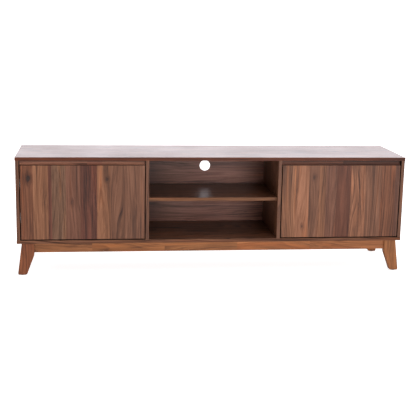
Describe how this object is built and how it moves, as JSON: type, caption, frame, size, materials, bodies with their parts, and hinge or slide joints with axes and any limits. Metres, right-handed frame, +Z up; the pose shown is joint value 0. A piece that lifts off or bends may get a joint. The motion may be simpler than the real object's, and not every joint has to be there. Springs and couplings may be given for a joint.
{
  "type": "tv stand with doors",
  "caption": "Long low television stand: a hinged cabinet door at each end, an open middle bay with a shelf and a cable hole, on a low splayed-leg wooden base.",
  "frame": {"origin": "on the floor under the middle of the stand", "axes": "+X to the right seen from the front, +Y from the front to the back, +Z up; the doors face -Y"},
  "size_m": [1.75, 0.39, 0.532],
  "materials": {
    "walnut_board": "walnut-pattern laminate on boards and edge bands, satin, long straight grain",
    "door_board": "walnut-pattern laminate with upright planks of different tone, satin",
    "back_board": "thin dark walnut-pattern hardboard, matt",
    "solid_wood": "stained solid wood, warm orange brown, satin varnish, softly rounded edges",
    "pale_wood": "unfinished pale hardwood",
    "hinge_steel": "nickel-plated pressed steel",
    "screw_zinc": "zinc-plated steel",
    "pin_steel": "nickel-plated steel shelf pins",
    "glide_plastic": "black nylon glide",
    "clear_rubber": "clear silicone bumper"
  },
  "bodies": {
    "cabinet": {"top_panel": "walnut_board", "bottom_panel": "walnut_board", "left_side_panel": "walnut_board", "right_side_panel": "walnut_board", "left_divider": "walnut_board", "right_divider": "walnut_board", "left_top_rail": "walnut_board", "right_top_rail": "walnut_board", "middle_shelf": "walnut_board", "left_back_panel": "back_board", "middle_back_panel": "back_board", "right_back_panel": "back_board", "front_rail": "solid_wood", "rear_rail": "solid_wood", "left_side_rail": "solid_wood", "right_side_rail": "solid_wood", "cross_rail": "solid_wood", "front_left_leg": "solid_wood", "front_right_leg": "solid_wood", "rear_left_leg": "solid_wood", "rear_right_leg": "solid_wood", "carcass_dowels": "pale_wood", "base_dowels": "pale_wood", "corner_blocks": "pale_wood", "left_hinge_arms": "hinge_steel", "right_hinge_arms": "hinge_steel", "left_hinge_plates": "hinge_steel", "right_hinge_plates": "hinge_steel", "back_screws": "screw_zinc", "cam_locks": "screw_zinc", "cam_bolts": "screw_zinc", "carcass_screws": "screw_zinc", "hinge_plate_screws": "screw_zinc", "block_screws": "screw_zinc", "shelf_pins": "pin_steel", "foot_glides": "glide_plastic", "door_bumpers": "clear_rubber"},
    "left_door": {"left_door": "door_board", "left_hinge_cups": "hinge_steel", "left_hinge_pins": "hinge_steel", "left_cup_screws": "screw_zinc"},
    "right_door": {"right_door": "door_board", "right_hinge_cups": "hinge_steel", "right_hinge_pins": "hinge_steel", "right_cup_screws": "screw_zinc"}
  },
  "joints": [
    {"name": "left_door_hinge", "type": "hinge", "parent": "cabinet", "child": "left_door", "pos_m": [-0.8435, -0.1875, 0.33], "axis": [0, 0, -1], "range_deg": [0, 100]},
    {"name": "right_door_hinge", "type": "hinge", "parent": "cabinet", "child": "right_door", "pos_m": [0.8435, -0.1875, 0.33], "axis": [0, 0, 1], "range_deg": [0, 100]}
  ]
}
